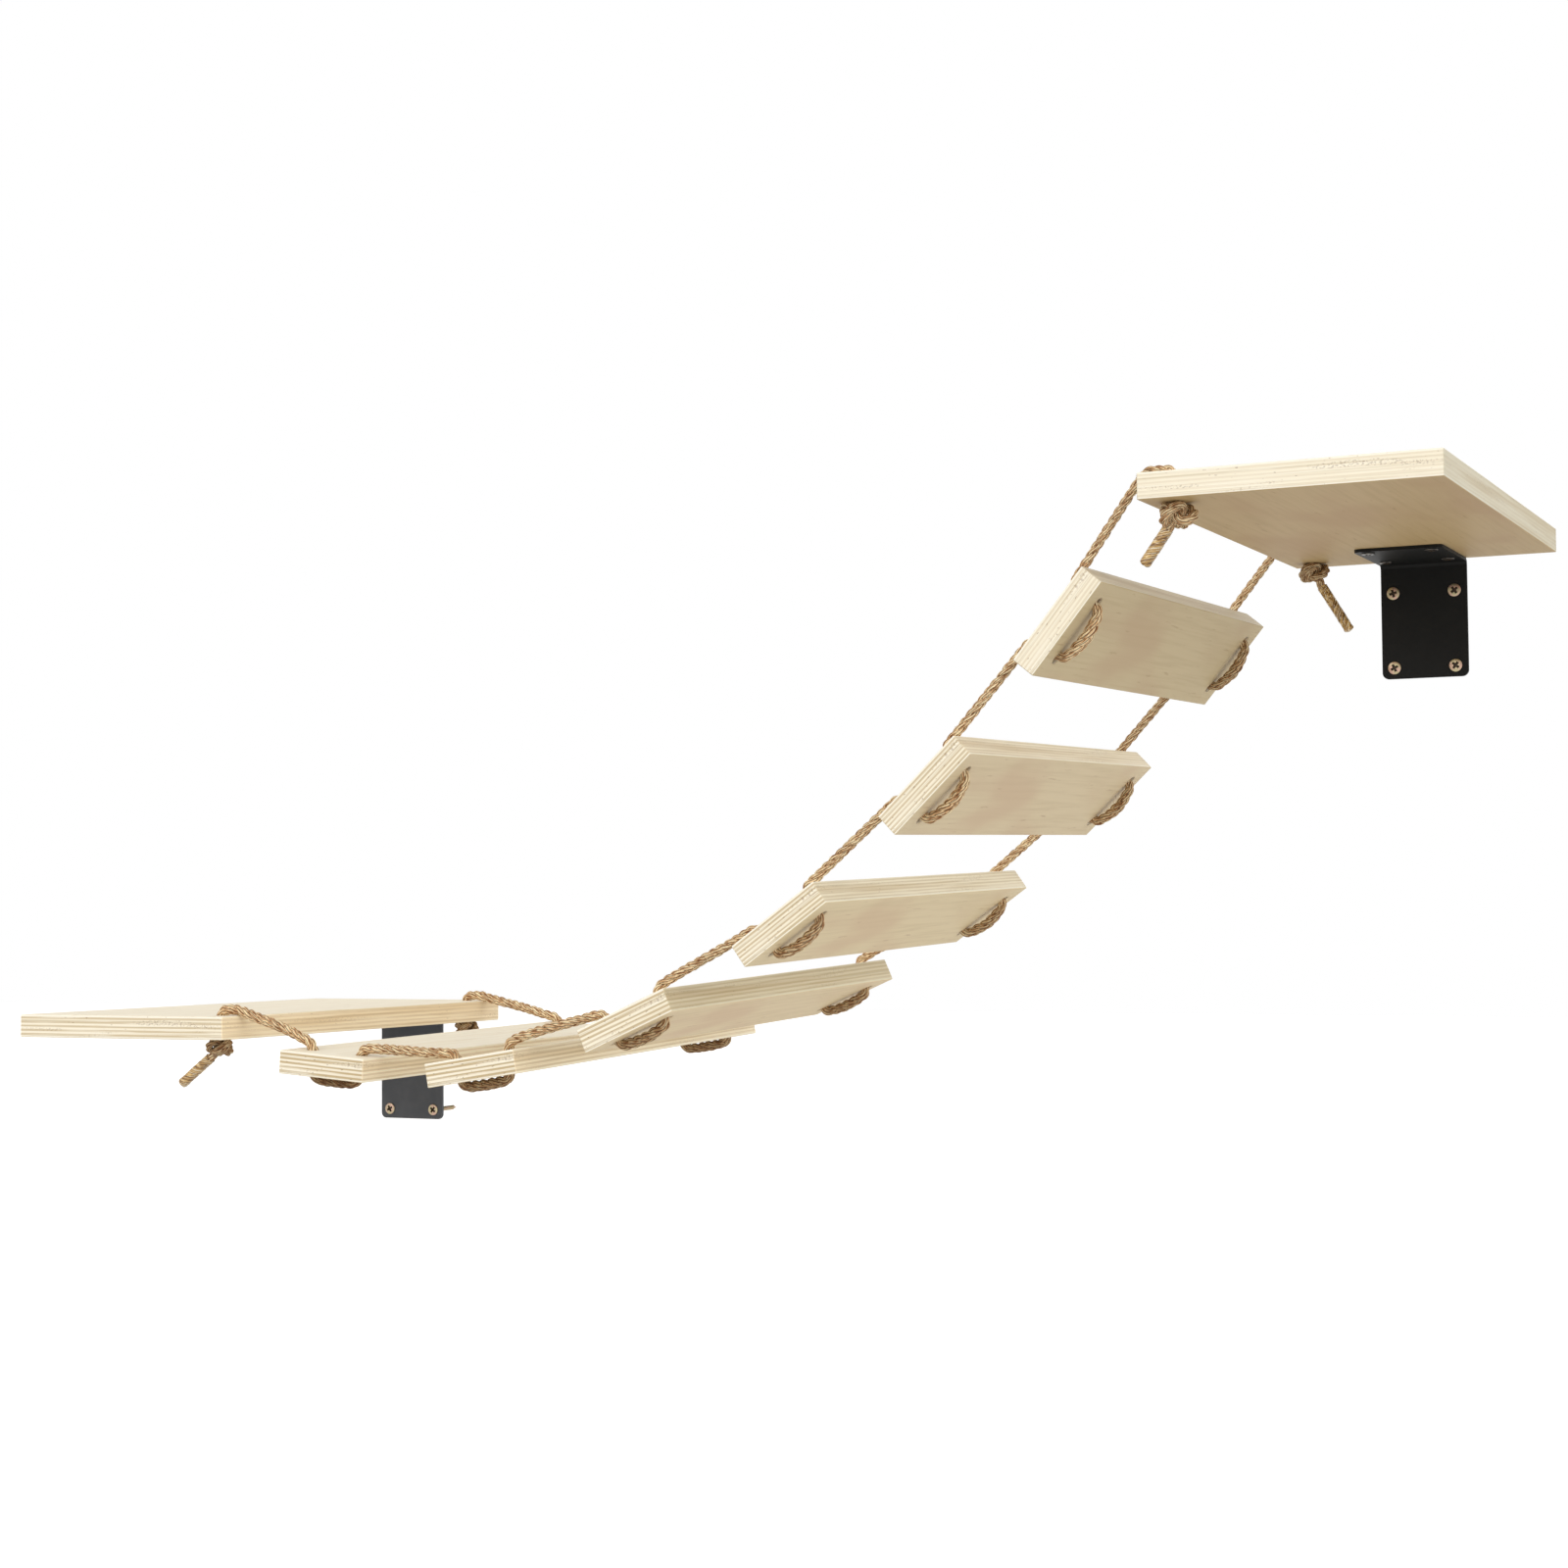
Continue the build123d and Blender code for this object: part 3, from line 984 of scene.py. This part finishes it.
def clear_tape():
    """Glossy clear tape over the rope: straw and brown show through it in slanting streaks, under painted
    glints.
    """
    finish, shader = new_material("clear_tape")
    lay = add(finish, "UVMap", uv_map="wrap").outputs[0]
    tone = ramp(finish, noise(finish, lay, *tape_streaks), tape_stops)
    # Painted highlights: near-white glints along the tail
    tone = mixed(finish, spots(finish, lay, tape_painted_glints), tone, tape_painted_glint)
    colour(finish, shader, tone, *tape_gloss)
    for socket, value in tape_film.items():
        shader.inputs[socket].default_value = value
    bump(finish, shader, noise(finish, on_object(finish), *tape_crumples), *tape_bump)
    return finish


def select_only(*pieces):
    """Leaves just these pieces selected, and the first of them active."""
    bpy.ops.object.select_all(action="DESELECT")
    for piece in reversed(pieces):
        piece.select_set(True)
        bpy.context.view_layer.objects.active = piece


def mode(name):
    """Goes into edit mode or out of it."""
    bpy.ops.object.mode_set(mode=name)


def settle():
    """Writes the selected piece's place, turn and size into its mesh."""
    bpy.ops.object.transform_apply(location=True, rotation=True, scale=True)


def turn_outwards():
    """Points all faces of the piece being edited outwards, and ends the editing."""
    bpy.ops.mesh.select_all(action="SELECT")
    bpy.ops.mesh.normals_make_consistent(inside=False)
    mode("OBJECT")


def drawn_up(profile, sides):
    """A round piece drawn up ring by ring, from its rings' heights and radii."""
    height, radius = profile[0]
    select_only()
    bpy.ops.mesh.primitive_circle_add(
        vertices=sides, radius=radius, fill_type="NGON", location=(0, 0, height),
    )
    settle()
    piece = bpy.context.object
    mode("EDIT")
    bpy.ops.mesh.select_all(action="SELECT")
    for next_height, next_radius in profile[1:]:
        bpy.ops.mesh.extrude_region_move(TRANSFORM_OT_translate={"value": (0, 0, next_height - height)})
        grown = next_radius / radius
        bpy.ops.transform.resize(value=(grown, grown, 1))
        height, radius = next_height, next_radius
    turn_outwards()
    return piece


def pick(piece, wanted):
    """Goes into edit mode with just the faces that are wanted selected."""
    select_only(piece)
    mode("EDIT")
    bpy.ops.mesh.select_mode(type="FACE")
    bpy.ops.mesh.select_all(action="DESELECT")
    mode("OBJECT")
    for face in piece.data.polygons:
        face.select = wanted(face)
    mode("EDIT")


def modify(piece, kind, **settings):
    """Adds a modifier with its settings and applies it."""
    select_only(piece)
    modifier = piece.modifiers.new(kind, kind)
    for setting, value in settings.items():
        setattr(modifier, setting, value)
    bpy.ops.object.modifier_apply(modifier=modifier.name)


def tape_sleeve(name):
    """Tape wound tight over the rope's end, open above and folded shut at the tip."""
    *_, reach, _ = rope_ends[name]
    start = reach - tape_share * (reach - knot_core)
    length = reach - start
    straight = length - tape_tip
    profile = [(straight * ring / tape_rings, tape_radius) for ring in range(tape_rings + 1)]
    profile += [(straight + tape_tip * up, tape_radius * out) for up, out in tape_tip_shares]
    sleeve = drawn_up(profile, tape_sides)
    pick(sleeve, lambda face: face.center.z < tape_wall / 10 and abs(face.normal.z) > level_enough)
    bpy.ops.mesh.inset(thickness=tape_wall)
    bpy.ops.mesh.extrude_region_move(TRANSFORM_OT_translate={"value": (0, 0, length - tape_end_wall)})
    turn_outwards()
    for vertex in sleeve.data.vertices:
        lobe = math.cos(strand_count * math.atan2(vertex.co.y, vertex.co.x))
        vertex.select = lobe < tape_valley_level
    mode("EDIT")
    bpy.ops.mesh.select_mode(type="VERT")
    bpy.ops.transform.resize(value=(tape_valley_share, tape_valley_share, 1), center_override=(0, 0, 0))
    mode("OBJECT")
    turn = math.tau * length / lay_length
    modify(sleeve, "SIMPLE_DEFORM", deform_method="TWIST", deform_axis="Z", angle=turn)
    modify(sleeve, "SUBSURF", levels=1, render_levels=1)
    crumple = bpy.data.textures.new(f"{name}_crumple", "CLOUDS")
    crumple.noise_scale = crumple_grain
    modify(sleeve, "DISPLACE", texture=crumple, strength=crumple_depth, texture_coords="LOCAL")
    wrap_lay(sleeve)
    heading = tail_heading(name)
    lean = heading.to_track_quat("Z", "Y").to_matrix().to_4x4()
    sleeve.matrix_world = Matrix.Translation(knot_middle(name) + heading * start) @ lean
    select_only(sleeve)
    settle()
    bpy.ops.object.shade_smooth_by_angle(angle=math.radians(tape_smooth_angle))
    sleeve.name = f"{name}_tape_sleeve"
    sleeve.data.materials.append(tape_finish)
    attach(sleeve, "wall_side")
    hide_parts(f"{name}_tape")
    return sleeve


def rope_end(name):
    """What ends a rope under its platform: the knot, its tail and the tape."""
    return knot_and_tail(name) + [tape_sleeve(name)]


def wrap_lay(sleeve):
    """The tape's map: along its length, and round it in step with the rope's lay."""
    mesh = sleeve.data
    for layer in list(mesh.uv_layers):
        mesh.uv_layers.remove(layer)
    layer = mesh.uv_layers.new(name="wrap")
    for loop, place in zip(mesh.loops, layer.data):
        point = mesh.vertices[loop.vertex_index].co
        lean = math.tau * (math.atan2(point.y, point.x) / math.tau - point.z / lay_length)
        along = math.cos(lean) * tape_map_width + point.z * lay_map_scale
        place.uv = (along, math.sin(lean) * tape_map_width)


# Screws

def screw_body(length):
    """A countersunk screw with its tip down and the plate's face at height 0."""
    shank = screw_shank_width / 2
    head = screw_head_width / 2
    eased = screw_head_easing * screw_easing_share
    profile = [
        (-length, screw_core * screw_point_share),
        (-length + screw_tip, screw_core),
        (screw_foot - screw_neck, screw_core),
        (screw_foot - screw_neck * screw_neck_share, shank),
        (screw_foot, shank),
        (screw_head_stand, head),
        (screw_face - screw_head_easing, head),
        (screw_face - eased, head - eased),
        (screw_face, head - screw_head_easing),
    ]
    profile += [(screw_face + screw_crown * up, head * out) for up, out in screw_crown_shares]
    body = drawn_up(profile, screw_sides)
    for turn in (0.0, quarter_turn):
        cut_bar(body, turn)
    return body


def cut_bar(body, turn):
    """Cuts one tapered bar of the cross recess out of a screw's head."""
    middle = (0, 0, screw_top - recess_depth / 2)
    select_only()
    bpy.ops.mesh.primitive_cube_add(size=1, location=middle, rotation=(0, 0, turn))
    bar = bpy.context.object
    bar.scale = (recess_span, recess_width, recess_depth * recess_bar_share)
    settle()
    pick(bar, lambda face: face.normal.z < -level_enough)
    bpy.ops.transform.resize(value=(recess_taper_share, recess_taper_share, 1))
    mode("OBJECT")
    modify(body, "BOOLEAN", operation="DIFFERENCE", solver="EXACT", object=bar)
    bpy.data.objects.remove(bar)


def screw_thread(length):
    """The thread: a three-sided ridge wound about the core from the neck to near the tip."""
    top = screw_foot - screw_neck
    turns = int((top + length - screw_tip) / thread_pitch)
    select_only()
    bpy.ops.mesh.primitive_circle_add(
        vertices=3, radius=thread_depth * thread_width_share,
        location=(screw_core + thread_depth * thread_sink_share, 0, top - turns * thread_pitch),
        rotation=(quarter_turn, quarter_turn, 0),
    )
    settle()
    ridge = bpy.context.object
    modify(
        ridge, "SCREW", axis="Z", screw_offset=thread_pitch, iterations=turns,
        steps=thread_steps, render_steps=thread_steps,
    )
    mode("EDIT")
    bpy.ops.mesh.select_all(action="SELECT")
    bpy.ops.mesh.fill_holes(sides=3)
    turn_outwards()
    return ridge


def whole_screw(length, finish):
    """One screw: its turned body with the cross cut in, and its thread."""
    body = screw_body(length)
    body.data.materials.append(finish)
    body.data.materials.append(recess_shade_finish)
    # Painted shade: the faces inside the cross take the dark recess finish
    low, high = (screw_top - recess_depth * share for share in recess_shade_shares)
    for face in body.data.polygons:
        out = math.hypot(face.center.x, face.center.y)
        face.material_index = 1 if low < face.center.z < high and out < recess_span / 2 else 0
    ridge = screw_thread(length)
    ridge.data.materials.append(finish)
    select_only(body, ridge)
    bpy.ops.object.join()
    bpy.ops.object.shade_smooth_by_angle(angle=math.radians(screw_smooth_angle))
    return body


def screw_set(node, model, leg, shift):
    """Four copies of a screw through one leg of a bracket, as one piece."""
    copies = []
    for row in (screw_row_inset, screw_row_inset + screw_row_spacing):
        for across in (-screw_spacing / 2, screw_spacing / 2):
            if leg == "wall":
                seat, lean = (across, -bracket_plate, lower_underside - row), 90
            else:
                seat, lean = (across, -row, lower_underside - bracket_plate), 180
            place = Matrix.Translation(shift) @ Matrix.Translation(seat) @ turned(lean, "X")
            copy = placed(node, model.data.copy())
            copy.matrix_world = place @ turned(screw_turns[len(copies)], "Z")
            copies.append(copy)
    select_only(*copies)
    bpy.ops.object.join()
    settle()
    whole = copies[0]
    whole.name = f"{node}_threaded"
    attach(whole, "wall_side")
    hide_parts(node)
    return whole


def screws():
    """All sixteen screws, from one model of each length."""
    shifts = {"lower": Vector((0, 0, 0)), "upper": Vector((upper_middle, 0, platform_rise))}
    finishes = {"wall": (wall_screw_length, brass_finish), "shelf": (shelf_screw_length, dark_finish)}
    for leg, (length, finish) in finishes.items():
        model = whole_screw(length, finish)
        for level, shift in shifts.items():
            made = screw_set(f"{level}_{leg}_screws", model, leg, shift)
        bpy.data.objects.remove(model)


# Screw metals: each one's tone, the tint that it drifts to and its roughness

brass = (paint(178, 168, 134), paint(190, 158, 142), 0.38)
# The shelf screws' heads are given a dark metal
dark_screw_metal = (paint(70, 68, 66), paint(104, 98, 92), 0.30)
metal_drift = ((1, 1, 1), 260.0, 2.0, 0.5, 0.40, 0.62, 1.0)
metal_scratches = ((1, 1, 1), 2400.0, 2.0)
metal_bump = (0.00003, 0.5)
# Painted shade inside the screws' crosses: a cloud of two dark browns, and its roughness
recess_shade_cloud = ((1, 1, 1), 1200.0, 2.0)
recess_shade_deep = paint(24, 16, 8)
recess_shade_pale = paint(92, 66, 30)
recess_shade_roughness = 0.5


def screw_metal(name, tone, tint, roughness):
    """Plated steel whose colour drifts a little over each head."""
    finish, shader = new_material(name)
    place = on_object(finish)
    drifting = mixed(finish, spots(finish, place, metal_drift), tone, tint)
    colour(finish, shader, drifting, roughness)
    shader.inputs["Metallic"].default_value = 1.0
    bump(finish, shader, noise(finish, place, *metal_scratches), *metal_bump)
    return finish


def recess_painted_shade():
    """Painted shade inside a screw's cross: dark browns for the shade in the recess."""
    finish, shader = new_material("recess_painted_shade")
    cloud = noise(finish, on_object(finish), *recess_shade_cloud)
    colour(finish, shader, mixed(finish, cloud, recess_shade_deep, recess_shade_pale), recess_shade_roughness)
    return finish


# Camera, light and stage

def set_camera():
    """The camera, where the boards' corners say that it was."""
    camera = bpy.data.cameras.new("camera")
    camera.lens = camera_lens
    camera.sensor_width = camera_sensor
    holder = placed("camera", camera)
    aim = turned(camera_yaw, "Z") @ turned(90 + camera_pitch, "X") @ turned(camera_roll, "Z")
    holder.matrix_world = Matrix.Translation(camera_place) @ aim
    bpy.context.scene.camera = holder


def shown_rays(owner):
    """1 for the rays that should see the white background itself."""
    rays = add(owner, "LightPath").outputs
    shown = maths(owner, "MAXIMUM", rays["Is Camera Ray"], rays["Is Glossy Ray"])
    return maths(owner, "MAXIMUM", shown, rays["Is Transmission Ray"])


def set_sun(name, strength, towards, spread):
    """A soft sun that shines towards a direction."""
    light = bpy.data.lights.new(name, "SUN")
    light.energy = strength
    light.angle = math.radians(spread)
    lamp = placed(name, light)
    lamp.rotation_euler = Vector(towards).to_track_quat("-Z", "Y").to_euler()


def set_light():
    """Plain light from all round, a white background and two soft suns."""
    world = bpy.data.worlds.new("studio")
    bpy.context.scene.world = world
    world.use_nodes = True
    back = world.node_tree.nodes["Background"]
    back.inputs["Color"].default_value = (1, 1, 1, 1)
    join(world, between(world, shown_rays(world), 0, 1, ambient, 1), back.inputs["Strength"])
    set_sun("key", *key_sun)
    set_sun("fill", *fill_sun)


def set_floor():
    """The pale floor, which glows a little where it is seen."""
    bpy.ops.mesh.primitive_plane_add(size=floor_size, location=(upper_middle / 2, 0, floor_height))
    floor = bpy.context.object
    floor.name = "floor"
    finish, shader = new_material("pale_floor")
    colour(finish, shader, floor_tone, floor_roughness)
    shader.inputs["Emission Color"].default_value = (1, 1, 1, 1)
    glow = maths(finish, "MULTIPLY", shown_rays(finish), floor_glow)
    join(finish, glow, shader.inputs["Emission Strength"])
    floor.data.materials.append(finish)


bpy.ops.object.select_all(action="DESELECT")
bpy.context.scene.view_settings.view_transform = "Standard"
set_camera()
set_light()
set_floor()
dress_boards()
dress_brackets()
jute_finish = jute()
tape_finish = clear_tape()
brass_finish = screw_metal("yellow_brass", *brass)
dark_finish = screw_metal("dark_screw_metal", *dark_screw_metal)
recess_shade_finish = recess_painted_shade()
screws()
for rope_side in rope_sides:
    rope(rope_side)
